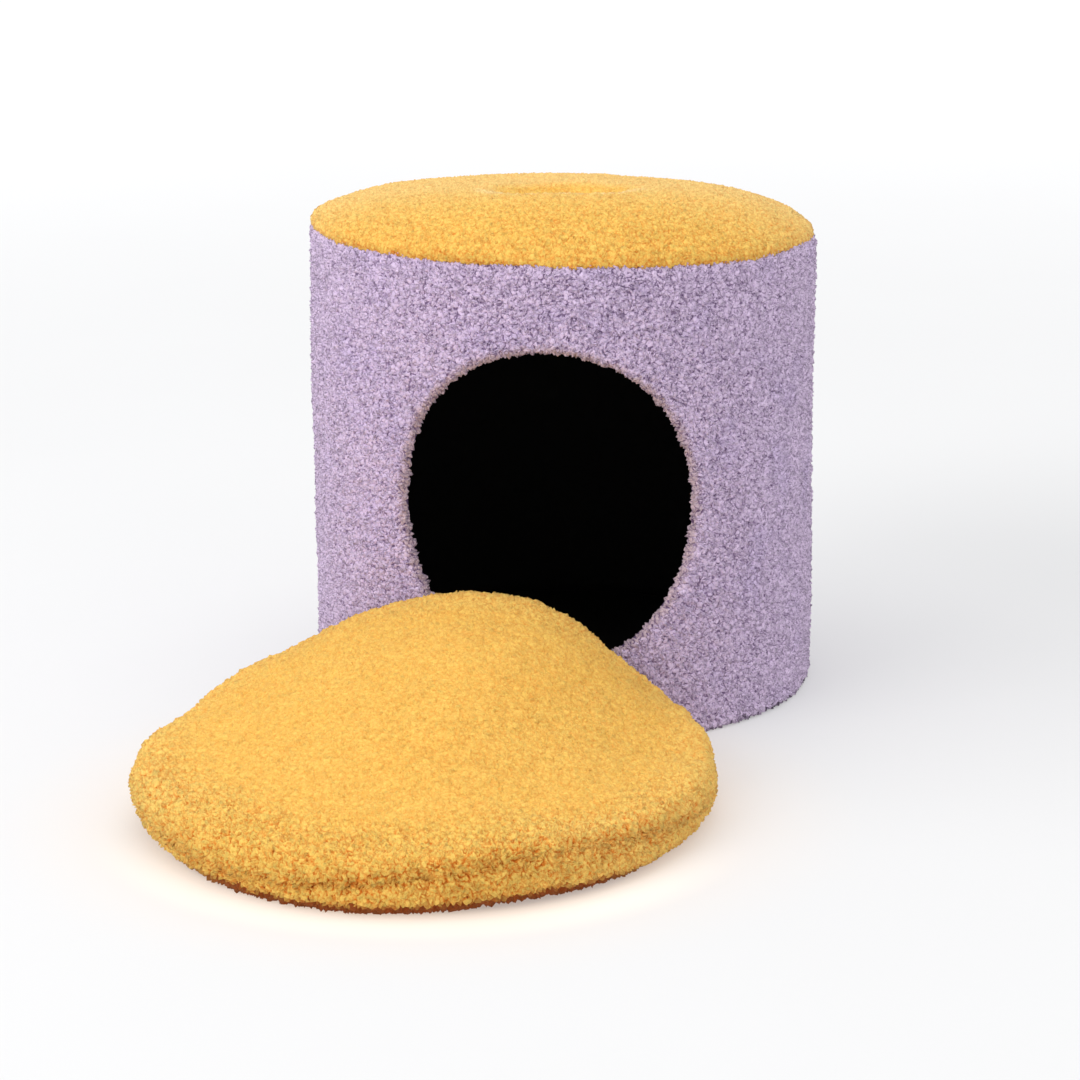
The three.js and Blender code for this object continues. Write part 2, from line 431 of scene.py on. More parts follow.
class FinishMaker(NodeMaker):
    """Builds the nodes of one material."""

    def __init__(self, name: str) -> None:
        """Starts a material with an empty tree.

        Args:
            name: the material's name.
        """
        self.material = bpy.data.materials.new(name)
        self.material.use_nodes = True
        super().__init__(self.material.node_tree)
        self.tree.nodes.clear()

    def stored(self, name: str) -> Term:
        """A number stored on the mesh."""
        return self.term("ShaderNodeAttribute", {"attribute_name": name}, out="Fac")

    def place(self) -> Term:
        """Where a point lies on the piece."""
        return self.term("ShaderNodeTexCoord", out="Object")

    def axes(self) -> list[Term]:
        """Where a point lies along each axis."""
        parts = self.add("ShaderNodeSeparateXYZ", None, {0: self.place()})
        return [Term(self, part) for part in parts.outputs]

    def speckle(self, place: Term, grain: Grain) -> Term:
        """Adds even noise.

        Args:
            place: where a point lies.
            grain: which unevenness.

        Returns:
            A number from 0 to 1.
        """
        scale, detail, roughness = grain.value
        inputs = {"Vector": place, "Scale": scale, "Detail": detail, "Roughness": roughness}
        return self.term("ShaderNodeTexNoise", {"noise_dimensions": "3D"}, inputs)

    def parted(self, place: Term, size: float) -> Term:
        """Parts the surface into wavering clumps.

        Args:
            place: where a point lies.
            size: how far apart the clumps lie.

        Returns:
            Distance from the nearest furrow as a share of the size, 0 in the furrow.
        """
        inputs = {"Vector": place, "Scale": 1.6 / size, "Detail": 2.0}
        waver = self.term("ShaderNodeTexNoise", None, inputs, "Color")
        shift = self.vector("SCALE", {0: waver, "Scale": 0.9 * size})
        moved = self.vector("ADD", {0: place, 1: shift})
        settings = {"feature": "DISTANCE_TO_EDGE"}
        return self.term("ShaderNodeTexVoronoi", settings, {"Vector": moved, "Scale": 1.0 / size})

    def mix(self, share: Term, first: Any, second: Any) -> Term:
        """Blends two colours.

        Args:
            share: how much of the second colour.
            first: a colour or the output of a node.
            second: the other one.

        Returns:
            The blend.
        """
        first, second = (end if isinstance(end, Term) else (*end, 1.0) for end in (first, second))
        settings = {"data_type": "RGBA", "blend_type": "MIX"}
        return self.term("ShaderNodeMix", settings, {0: share, 6: first, 7: second}, 2)

    def faded(self, value: Term, fade: Fade) -> Term:
        """Rises softly from 0 to 1 where an unevenness shows."""
        return self.ramp(value, *fade.value)

    def bumped(self, height: Term, distance: float, strength: float) -> Term:
        """A surface direction from a height."""
        inputs = {"Height": height, "Distance": distance, "Strength": strength}
        return self.term("ShaderNodeBump", None, inputs)

    def finish(self, inputs: dict) -> bpy.types.Material:
        """Adds the surface.

        Args:
            inputs: values or links of the surface's sockets.

        Returns:
            The finished material.
        """
        surface = self.term("ShaderNodeBsdfPrincipled", None, inputs)
        self.add("ShaderNodeOutputMaterial", None, {"Surface": surface})
        return self.material


# ---- The finishes ----


@dataclass(frozen=True)
class CurlShade:
    """How strongly each unevenness of a fleece turns its tips to the root colour or to its other colours:
    deep, nub, furrow, pit and knob are painted shade in the hollows between curls and clumps,
    painted_highlight is the share of painted highlight, and fibre, curl, clump and strand are random tone.
    """

    deep: float = 0.38
    roots_to: float = 0.38
    tips_from: float = 0.60
    nub: float = 0.08
    furrow: float = 0.6
    furrow_by_knobs: float = 0.16
    pit: float = 0.3
    strand: float = 0.1
    fibre: float = 1.25
    fibre_by_plush: float = 0.15
    curl: float = 0.06
    knob: float = 0.16
    clump: float = 0.08
    offset: float = 0.26
    plush_lift: float = 0.28
    plush_lift_by_knobs: float = 0.2
    patch: float = 0.22
    painted_highlight: float = 0.8
    ground: float = 0.75


@dataclass(frozen=True)
class FleeceFinish:
    """The curls of a fleece and the knit that they grow from.

    The tip and root are a curl's two ends; the root colour is both the knit's darker colour and the painted
    shade in the hollows between curls. Patch drifts through the tips. Edge is a painted tint: on the
    doorway's edge it stands for light bounced off the yellow cushion, and in the cushion's seam crease it is
    painted shade.
    The painted_highlight colour is the pale colour of the painted highlights on crests and on the cushion's
    lit flank, and the sheen's tint. Depth is the painted contact shadow in the gap next to the floor. Knobs
    says how clearly clumps part.
    """

    name: str
    tip: Colour
    root: Colour
    patch: Colour
    edge: Colour
    painted_highlight: Colour
    depth: Colour
    sheen: float
    clump: float = 4.4 * MM
    strand: float = 2.3 * MM
    knobs: float = 1.0
    shade: CurlShade = CurlShade()

    def curls(self) -> bpy.types.Material:
        """Colours the curls: painted shade towards the roots and in the furrows, pits and knob edges between
        clumps, the painted light and shade of the rim mark, painted highlight on crests, painted contact
        shadow next to the floor, and each curl a little different.

        Returns:
            The material.
        """
        make = FinishMaker(self.name + "_curls")
        by = self.shade
        place = make.place()
        plush = make.stored("plush")
        height = make.stored("tip") * 0.85 + make.stored("clump") * 0.15
        deep = 1.0 - make.ramp(height, by.roots_to, by.tips_from)
        nub = 1.0 - make.faded(make.stored("clump"), Fade.NUB)
        patches = make.faded(make.speckle(place, Grain.PATCHES), Fade.PATCHES)
        clumps = make.speckle(place, Grain.CLUMPS)
        fibres = make.speckle(place, Grain.FIBRES)
        strands = make.faded(make.parted(place, self.strand), Fade.STRANDS)
        breaks = make.faded(make.speckle(place, Grain.BREAKS), Fade.BREAKS) * 0.6 + 0.4
        from_furrow = make.parted(place, self.clump)
        furrow = (1.0 - make.faded(from_furrow, Fade.FURROW)) * breaks
        knob = make.faded(from_furrow, Fade.KNOB)
        pits = 1.0 - make.faded(make.speckle(place, Grain.PITS), Fade.PITS)
        parting = by.furrow + by.furrow_by_knobs * self.knobs
        lift = by.plush_lift + by.plush_lift_by_knobs * self.knobs
        # Painted shade: deep, nub, furrow, pit and knob darken towards the root colour in the hollows between
        # curls and clumps; fibres, clumps, strands and each curl's shade value are random tone.
        dark = deep * by.deep + nub * by.nub + furrow * parting + pits * by.pit - strands * by.strand
        dark = dark * (plush * 0.9 + 0.1) + (0.5 - fibres) * (plush * by.fibre_by_plush + by.fibre)
        dark = dark + (0.5 - make.stored("shade")) * by.curl + (0.5 - knob) * plush * (by.knob * self.knobs)
        dark = dark + (0.5 - clumps) * (plush + 1.0) * by.clump - plush * lift + by.offset
        dye_and_painted_light = make.mix(patches * by.patch, self.tip, self.patch)
        # Painted tint on the rim mark: light bounced off the yellow cushion on the doorway's edge, and shade
        # in the cushion's seam crease.
        dye_and_painted_light = make.mix(make.stored("rim"), dye_and_painted_light, self.edge)
        # Painted highlight on the crest mark: pale crests of the top pad and the cushion's lit flank.
        dye_and_painted_light = make.mix(make.stored("crest") * by.painted_highlight, dye_and_painted_light, self.painted_highlight)
        colour = make.mix(dark, dye_and_painted_light, self.root)
        relief = fibres + strands * 0.6 + knob * (plush * (2.5 * self.knobs))
        return make.finish({
            # Painted contact shadow next to the floor, in the depth colour.
            "Base Color": make.mix(make.stored("sunk"), colour, self.depth),
            "Roughness": 0.92,
            "Specular IOR Level": 0.15,
            "Sheen Weight": self.sheen,
            "Sheen Roughness": 0.5,
            "Sheen Tint": (*self.painted_highlight, 1.0),
            "Normal": make.bumped(relief, 0.4 * MM, 0.7),
        })

    def knit(self) -> bpy.types.Material:
        """Dyes the ground between the curls, with the painted contact shadow next to the floor.

        Returns:
            The material.
        """
        make = FinishMaker(self.name + "_knit")
        tufts = make.speckle(make.place(), Grain.TUFTS)
        ground = make.mix(make.stored("plush") * self.shade.ground, self.tip, self.root)
        shaded = make.vector("SCALE", {0: ground, "Scale": make.faded(tufts, Fade.TUFTS) * 0.15 + 0.8})
        return make.finish({
            # Painted contact shadow next to the floor, in the depth colour.
            "Base Color": make.mix(make.stored("sunk"), shaded, self.depth),
            "Roughness": 0.95,
            "Specular IOR Level": 0.1,
            "Normal": make.bumped(tufts, 2 * MM, 0.8),
        })


@dataclass(frozen=True)
class LiningFinish:
    """Black cloth inside and under the den."""

    name: str
    colour: Colour
    thread: float
    relief: float

    def cloth(self) -> bpy.types.Material:
        """Dyes a plain dark cloth with a fine even weave and a little lint.

        Returns:
            The material.
        """
        make = FinishMaker(self.name)
        step = FULL_TURN / self.thread
        x, y, z = make.axes()
        weave = ((x + y) * step).sine() * (z * step).sine()
        lint = make.faded(make.speckle(make.place(), Grain.LINT), Fade.LINT)
        pale = tuple(channel * 2.2 + 0.002 for channel in self.colour)
        return make.finish({
            "Base Color": make.mix(lint * 0.6, self.colour, pale),
            "Roughness": 0.85,
            "Specular IOR Level": 0.2,
            "Normal": make.bumped(weave, self.relief, 0.5),
        })


# ---- The pile ----


class CurlShape(Enum):
    """Shapes that a curl of the fleece may take: half length, half width, height and half crest."""

    KNOB = (0.60, 0.58, 1.0, 0.10)
    LOOP = (0.74, 0.46, 1.0, 0.34)
    TALL = (0.62, 0.50, 1.2, 0.18)
    FLAT = (0.70, 0.58, 0.85, 0.28)


CURL_FOOT = -0.45
CURL_CREST = 0.42
CURL_LUMPS = 0.1
CURL_SPREAD = 0.65


def curl_of(shape: CurlShape, number: int) -> bpy.types.Object:
    """One small curl: a skewed ridge with its wide foot buried in the cloth.

    Args:
        shape: its proportions.
        number: which of the lumpy variants.

    Returns:
        The curl as an object, size 1.
    """
    chance = np.random.default_rng(100 + number)
    long, wide, tall, ridge = shape.value
    corners = ((-long, -wide), (long, -wide), (long, wide), (-long, wide))
    ring = [(x, y, CURL_FOOT) for x, y in corners]
    points = np.array([*ring, (-ridge, 0.0, CURL_CREST), (ridge, 0.0, CURL_CREST)])
    sides = len(ring)
    faces = [(0, 1, 5, 4), (1, 2, 5), (2, 3, 4, 5), (3, 0, 4), (3, 2, 1, 0)]
    lumpy = points + chance.uniform(-CURL_LUMPS, CURL_LUMPS, points.shape)
    lumpy[:sides, 2] = CURL_FOOT
    lumpy[:, 2] *= tall
    curl = new_piece(f"curl_{shape.name.lower()}", lumpy, faces)
    rim = [all(vertex < sides for vertex in edge.vertices) for edge in curl.data.edges]
    curl.data.attributes.new("sharp_edge", "BOOLEAN", "EDGE").data.foreach_set("value", rim)
    height = lumpy[:, 2]
    mark(curl.data, tip=(height - height.min()) / np.ptp(height))
    loops = [loop.vertex_index for loop in curl.data.loops]
    mark_corners(curl.data, "spread", CURL_SPREAD * points[loops, :2])
    return curl


class PileMaker(NodeMaker):
    """Builds the Geometry Nodes that scatter curls over a base cloth."""

    sizes: tuple[str, ...] = ("Spacing", "Size", "Clump", "Relief", "Zone", "Across", "Along")
    crowding: float = 6.0
    dome_edges: tuple[float, float] = (0.85, 0.3)
    lean: float = 0.25
    size_range: tuple[float, float] = (0.75, 1.3)
    pressed_height: float = 0.4

    def __init__(self, curls: bpy.types.Collection) -> None:
        """Builds the whole tree.

        Args:
            curls: the collection of curl shapes.
        """
        super().__init__(bpy.data.node_groups.new("curly_pile", "GeometryNodeTree"))
        sockets = {"Geometry": "Geometry", **dict.fromkeys(self.sizes, "Float")}
        sockets |= {"Seed": "Int", "Finish": "Material"}
        for name, kind in sockets.items():
            self.tree.interface.new_socket(name, in_out="INPUT", socket_type=f"NodeSocket{kind}")
        self.tree.interface.new_socket("Geometry", in_out="OUTPUT", socket_type="NodeSocketGeometry")
        outputs = self.add("NodeGroupInput").outputs
        self.given = {name: Term(self, outputs[name]) for name in sockets}
        whole = self.term("GeometryNodeRealizeInstances", None, {"Geometry": self.planted(curls)})
        finished = {"Geometry": self.laid_out(whole), "Material": self.given["Finish"]}
        # Root: the knit's darker colour and the painted shade in the hollows between curls.
        self.add("NodeGroupOutput", None, {"Geometry": self.term("GeometryNodeSetMaterial", None, finished)})

    # Edge: paler painted tint on the doorway's edge for light bounced off the yellow cushion.
    def chance(self, low: float, high: float, salt: int) -> Term:
        """A random number for each point."""
        # Depth: painted contact shadow next to the floor.
        inputs = {2: low, 3: high, "Seed": self.given["Seed"] + salt}
        return self.term("FunctionNodeRandomValue", {"data_type": "FLOAT"}, inputs, 1)

    def stored(self, name: str, kind: str = "FLOAT") -> Term:
        """A value stored on the base cloth or on the curls."""
        return self.term("GeometryNodeInputNamedAttribute", {"data_type": kind}, {"Name": name})
    # Root: the knit's darker colour and the painted shade in the hollows between curls.

    def store(self, geometry: Term, name: str, value: Term, kind: str, domain: str) -> Term:
        # Depth: painted contact shadow next to the floor.
        # Edge: painted shade in the cushion's seam crease.
        """Stores a value on geometry.

        Args:
            geometry: what to store it on.
            name: the name to store it under.
            value: the value.
            kind: its data type.
            domain: POINT, CORNER or INSTANCE.

        Returns:
            The geometry with the value.
        """
        settings = {"data_type": kind, "domain": domain}
        inputs = {"Geometry": geometry, "Name": name, "Value": value}
        return self.term("GeometryNodeStoreNamedAttribute", settings, inputs)

    def vector_of(self, x: Term, y: Term, z: Term | float = 0.0) -> Term:
        """A vector from its three parts."""
        return self.term("ShaderNodeCombineXYZ", None, {"X": x, "Y": y, "Z": z})

    def planted(self, curls: bpy.types.Collection) -> Term:
        """Plants the curls of one zone, turned and sized at random and raised where they clump.

        Args:
            curls: the collection of curl shapes.

        Returns:
            The curls as instances.
        """
        given = self.given
        scatter = self.add("GeometryNodeDistributePointsOnFaces", {"distribute_method": "POISSON"}, {
            "Mesh": given["Geometry"],
            "Distance Min": given["Spacing"],
            "Density Max": self.crowding / (given["Spacing"] * given["Spacing"]),
            "Density Factor": self.stored("pile_cover"),
            "Seed": given["Seed"],
        })
        outputs = ("Points", "Normal", "Rotation")
        points, normal, turn = (Term(self, scatter.outputs[name]) for name in outputs)
        away = abs(self.stored("zone") - given["Zone"])
        elsewhere = self.term("FunctionNodeCompare", {"operation": "GREATER_THAN"}, {0: away, 1: 0.5})
        selected = {"Geometry": points, "Selection": elsewhere}
        kept = self.term("GeometryNodeDeleteGeometry", {"domain": "POINT"}, selected)
        cells = {"Vector": self.term("GeometryNodeInputPosition"), "Scale": 1.0 / given["Clump"]}
        from_middle = self.term("ShaderNodeTexVoronoi", None, cells, "Distance")
        dome = self.ramp(from_middle, *self.dome_edges)
        clumped = self.store(kept, "clump", dome, "FLOAT", "POINT")
        plush = self.stored("plush")
        lift = self.vector("SCALE", {0: normal, "Scale": dome * given["Relief"] * plush})
        raised = self.term("GeometryNodeSetPosition", None, {"Geometry": clumped, "Offset": lift})
        leans = (self.chance(-self.lean, self.lean, salt) for salt in (1, 2))
        angles = self.vector_of(*leans, self.chance(0.0, FULL_TURN, 3))
        leant = self.term("FunctionNodeEulerToRotation", None, {0: angles})
        turned = self.term("FunctionNodeRotateRotation", {"rotation_space": "LOCAL"}, {0: turn, 1: leant})
        size = given["Size"] * self.chance(*self.size_range, 4)
        tall = plush * (1.0 - self.pressed_height) + self.pressed_height
        shapes = self.term(
            "GeometryNodeCollectionInfo", None,
            {"Collection": curls, "Separate Children": True, "Reset Children": True},
        )
        picks = {4: 0, 5: len(CurlShape) - 1, "Seed": given["Seed"] + 5}
        planted = self.term("GeometryNodeInstanceOnPoints", None, {
            "Points": raised,
            "Instance": shapes,
            "Pick Instance": True,
            "Instance Index": self.term("FunctionNodeRandomValue", {"data_type": "INT"}, picks, 2),
            "Rotation": turned,
            "Scale": self.vector_of(size, size, size * tall),
        })
        return self.store(planted, "shade", self.chance(0.0, 1.0, 6), "FLOAT", "INSTANCE")

    def laid_out(self, curls: Term) -> Term:
        """Lays each curl's faces out beside the place on the flat cloth where the curl grows.

        Args:
            curls: the curls as a plain mesh.

        Returns:
            The curls with their layout.
        """
        given = self.given
        reach = self.vector_of(given["Size"] / given["Across"], given["Size"] / given["Along"])
        offset = self.vector("MULTIPLY", {0: self.stored("spread", "FLOAT_VECTOR"), 1: reach})
        laid = self.vector("ADD", {0: self.stored("root_place", "FLOAT_VECTOR"), 1: offset})
        return self.store(curls, "OFBake", laid, "FLOAT2", "CORNER")


@dataclass
class Pile:
    """The curls of one fleece, grown on a base cloth."""

    spacing: float
    size: float
    clump: float
    relief: float
    seed: int
    finish: FleeceFinish
    across: float
    along: float

    def grow(self, name: str, base: bpy.types.Object, zones: int) -> list[bpy.types.Object]:
        """Grows the curls on a base cloth.

        Args:
            name: the name of the pieces.
            base: the base cloth, with the marks that the pile reads.
            zones: how many pieces the curls are kept in.

        Returns:
            The pieces of pile, each a plain mesh.
        """
        base.data.materials.append(self.finish.knit())
        material = self.finish.curls()
        curls = bpy.data.collections.new("curl_shapes")
        bpy.context.scene.collection.children.link(curls)
        for number, shape in enumerate(CurlShape):
            curl = curl_of(shape, number)
            bpy.context.scene.collection.objects.unlink(curl)
            curls.objects.link(curl)
        tree = PileMaker(curls).tree
        names = {item.name: item.identifier for item in tree.interface.items_tree if item.in_out == "INPUT"}
        pieces = []
        for zone in range(zones):
            piece = linked(bpy.data.objects.new(f"{name}_{zone + 1}", base.data.copy()))
            growth = piece.modifiers.new("pile", "NODES")
            growth.node_group = tree
            settings = {
                "Spacing": self.spacing,
                "Size": self.size,
                "Clump": self.clump,
                "Relief": self.relief,
                "Zone": float(zone),
                "Across": self.across,
                "Along": self.along,
                "Seed": self.seed,
                "Finish": material,
            }
            for key, value in settings.items():
                growth[names[key]] = value
            pieces.append(baked(piece))
        for curl in list(curls.objects):
            bpy.data.objects.remove(curl)
        bpy.data.collections.remove(curls)
        return pieces


def baked(piece: bpy.types.Object) -> bpy.types.Object:
    """Turns a piece's modifiers into its plain mesh, in place.

    Args:
        piece: the piece with its modifiers.

    Returns:
        The same piece, without them.
    """
    view = bpy.context.evaluated_depsgraph_get()
    mesh = bpy.data.meshes.new_from_object(piece.evaluated_get(view))
    piece.modifiers.clear()
    piece.data = mesh
    mesh.name = piece.name
    return piece


# ---- The den ----


@dataclass
class DenWall:
    """The padded wall with its round doorway, covered in lilac fleece."""

    finish: FleeceFinish
    radius: float = 200 * MM
    seam_height: float = 370.3 * MM
    lean_x: float = -0.0255
    lean_y: float = -0.019
    side_sag: float = 3 * MM
    lean_from: float = 60 * MM
    thickness: float = 11.7 * MM
    inner_hem: float = 2.5 * MM
    door_radius: float = 119.5 * MM
    door_height: float = 183 * MM
    pile: float = 3.4 * MM
    roll: float = 5 * MM
    roll_steps: int = 4
    lower_edge: float = 4.5 * MM
    foot: float = 3.8 * MM
    top_gap: float = 1.2 * MM
    softness: float = 0.9 * MM
    # Width of the doorway's edge band that gets the painted bounce-light tint.
    bounce_band_width: float = 1.5 * MM
    rim_plush: float = 0.2
    seam_plush: float = 0.6
    back_seam_width: float = 3 * MM
    back_seam_depth: float = 2.5 * MM
    # Height of the painted contact shadow at the foot of the wall.
    contact_height: float = 4 * MM
    front_half: float = 185 * MM
    side_steps: int = 36
    rings: int = 9
    back_steps: int = 88
    seam_columns: tuple = (0.496, 0.504)
    zones: int = 3

    @property
    def around(self) -> float:
        """Length of the cloth round the den."""
        return FULL_TURN * self.radius

    def seam_rise(self, x: np.ndarray, y: np.ndarray) -> np.ndarray:
        """How far the leaning seam stands above its height at the axis."""
        return self.lean_x * x + self.lean_y * y - self.side_sag * (x / self.radius) ** 2

    def bent(self, flat: np.ndarray, depth: float | np.ndarray) -> np.ndarray:
        """Bends flat cloth round the den.

        Args:
            flat: across from the doorway's middle and height, one row each.
            depth: how far inside the tips of the pile.

        Returns:
            Places in the frame.
        """
        angle = flat[:, 0] / self.radius
        distance = self.radius - depth
        x = distance * np.sin(angle)
        y = -distance * np.cos(angle)
        share = smooth((flat[:, 1] - self.lean_from) / (self.seam_height - self.lean_from))
        return np.stack([x, y, flat[:, 1] + self.seam_rise(x, y) * share], 1)

    def layout(self, hole: float, low: float, high: float) -> tuple[np.ndarray, list, dict]:
        """Flat cloth with a round hole: rays out to a square block, then plain columns round the back.

        Args:
            hole: the hole's radius.
            low: the cloth's lower edge.
            high: its upper edge.

        Returns:
            The flat places, the quads, and the loops of vertices along each edge.
        """
        half = self.front_half
        steps = self.side_steps
        shares = np.arange(steps) / steps
        middle = np.array([0.0, self.door_height])
        tall = high - low
        sides = [
            np.stack([np.full(steps, half), low + tall * shares], 1),
            np.stack([half - 2 * half * shares, np.full(steps, high)], 1),
            np.stack([np.full(steps, -half), high - tall * shares], 1),
            np.stack([-half + 2 * half * shares, np.full(steps, low)], 1),
        ]
        border = np.concatenate(sides)
        outward = border - middle
        ray = outward / np.linalg.norm(outward, axis=1, keepdims=True)
        rim = middle + ray * hole
        flat = [rim + (border - rim) * (ring / self.rings) for ring in range(self.rings + 1)]
        count = 4 * steps
        rows = ring_numbers(self.rings + 1, count)
        quads = join_quads(rows, closed=True)
        last = rows[-1]
        columns = [last[: steps + 1]]
        heights = low + tall * np.arange(steps + 1) / steps
        start = (self.rings + 1) * count
        shares_behind = np.arange(1, self.back_steps) / self.back_steps
        for share in np.sort(np.append(shares_behind, self.seam_columns)):
            across = half + (self.around - 2 * half) * share
            flat.append(np.stack([np.full(steps + 1, across), heights], 1))
            columns.append(list(range(start, start + steps + 1)))
            start += steps + 1
        columns.append([last[(3 * steps - m) % count] for m in range(steps + 1)])
        quads += join_quads(columns, closed=False)
        top = last[steps: 2 * steps + 1][::-1] + [column[-1] for column in columns[1:-1]]
        bottom = last[3 * steps:] + [last[0]] + [column[0] for column in columns[1:-1]]
        return np.concatenate(flat), quads, {"hole": rows[0], "top": top, "bottom": bottom}

    def levels(self) -> list[tuple[float, float, float, float]]:
        """Steps from the outer face, round the rolled edges, to the inner face.

        Returns:
            For each step the doorway's radius, the lower edge, the upper edge and the depth inside the tips.
        """
        hole = self.door_radius + self.pile + self.roll
        high = self.seam_height - self.top_gap - self.roll
        levels = []
        for step in range(self.roll_steps + 1):
            angle = 0.5 * math.pi * step / self.roll_steps
            inward = math.sin(angle)
            depth = self.pile + self.roll * (1.0 - math.cos(angle))
            rolled = self.roll * inward
            edges = (hole - rolled, self.lower_edge - self.foot * inward, high + rolled)
            levels.append((*edges, depth))
        levels.append((*edges, self.thickness - self.inner_hem))
        levels.append((*edges, self.thickness))
        return levels

    def build(self) -> bpy.types.Object:
        """Builds the wall's cover: outer face, rolled edges and inner face in one closed piece.

        Returns:
            The cover.
        """
        levels = self.levels()
        points, flats, covers, rims, faces, loops = [], [], [], [], [], []
        start = 0
        for number, (hole, low, high, depth) in enumerate(levels):
            flat, quads, edges = self.layout(hole, low, high)
            is_face = number in (0, len(levels) - 1)
            chosen = np.arange(len(flat))
            if not is_face:
                chosen = np.array(sorted(set(edges["hole"] + edges["top"] + edges["bottom"])))
            index = {int(old): start + new for new, old in enumerate(chosen)}
            flat = flat[chosen]
            points.append(self.bent(flat, depth))
            flats.append(flat)
            from_hole = np.hypot(flat[:, 0], flat[:, 1] - self.door_height) - levels[0][0]
            grown = np.full(len(flat), 1.0 if number <= self.roll_steps else 0.0)
            if number == self.roll_steps + 1:
                grown = (from_hole < 0.0).astype(float)
            covers.append(grown)
            # The doorway's edge band, later given a paler painted tint for light bounced off the yellow
            # cushion.
            ragged = self.bounce_band_width * drift(np.column_stack([flat, flat[:, 0]]), 9 * MM, 12.0)
            rims.append(smooth((ragged - from_hole - self.bounce_band_width) / (2 * self.bounce_band_width)))
            if is_face:
                faces += [tuple(index[v] for v in quad) for quad in quads]
            loops.append({key: [index[v] for v in loop] for key, loop in edges.items()})
            start += len(flat)
        for key in ("hole", "top", "bottom"):
            faces += join_quads([level[key] for level in loops], closed=True)
        piece = new_piece("wall_fleece", np.concatenate(points), faces)
        self.soften(piece.data, np.concatenate(flats), np.concatenate(covers), np.concatenate(rims))
        return piece

    def soften(self, mesh: bpy.types.Mesh, flat: np.ndarray, cover: np.ndarray, rim: np.ndarray) -> None:
        """Adds the slow unevenness and the seam at the back, and marks the cloth for its pile.

        Args:
            mesh: the wall's cover.
            flat: where each vertex lies on the flat cloth.
            cover: 1 where pile grows.
            rim: 1 on the doorway's edge, where a paler painted tint stands for light bounced off the yellow
                cushion.
        """
        swell(mesh, drift(places(mesh), 90 * MM, 1.0) * self.softness * cover)
        from_seam = np.abs(flat[:, 0] - 0.5 * self.around) / self.back_seam_width
        seam = np.exp(-(from_seam**2)) * cover
        swell(mesh, -self.back_seam_depth * seam)
        across = (flat[:, 0] / self.around + 0.5) % 1.0
        # Painted contact shadow, darker towards the floor.
        low = smooth(1.4 * (1.0 - places(mesh)[:, 2] / self.contact_height))
        mark(
            mesh,
            pile_cover=cover,
            plush=1.0 + self.rim_plush * rim + self.seam_plush * seam,
            rim=rim,
            crest=np.zeros(len(flat)),
            sunk=low * cover,
            zone=np.minimum(np.floor(across * self.zones), self.zones - 1.0),
        )
        mark_layout(mesh, np.stack([across, flat[:, 1] / self.seam_height], 1), wraps=True)

    def dress(self) -> None:
        """Builds the wall, grows its pile and hands both to the frame."""
        cover = self.build()
        pile = Pile(
            spacing=2.25 * MM, size=4.5 * MM, clump=4.6 * MM, relief=1.2 * MM, seed=11,
            finish=self.finish, across=self.around, along=self.seam_height,
        )
        curls = pile.grow("wall_curls", cover, self.zones)
        for piece in [cover, *curls]:
            press_on_floor(piece)
            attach(piece, BODY)
            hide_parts("wall_cover")
            report(piece)
        self.around
        self.around * self.seam_height - math.pi * self.door_radius**2


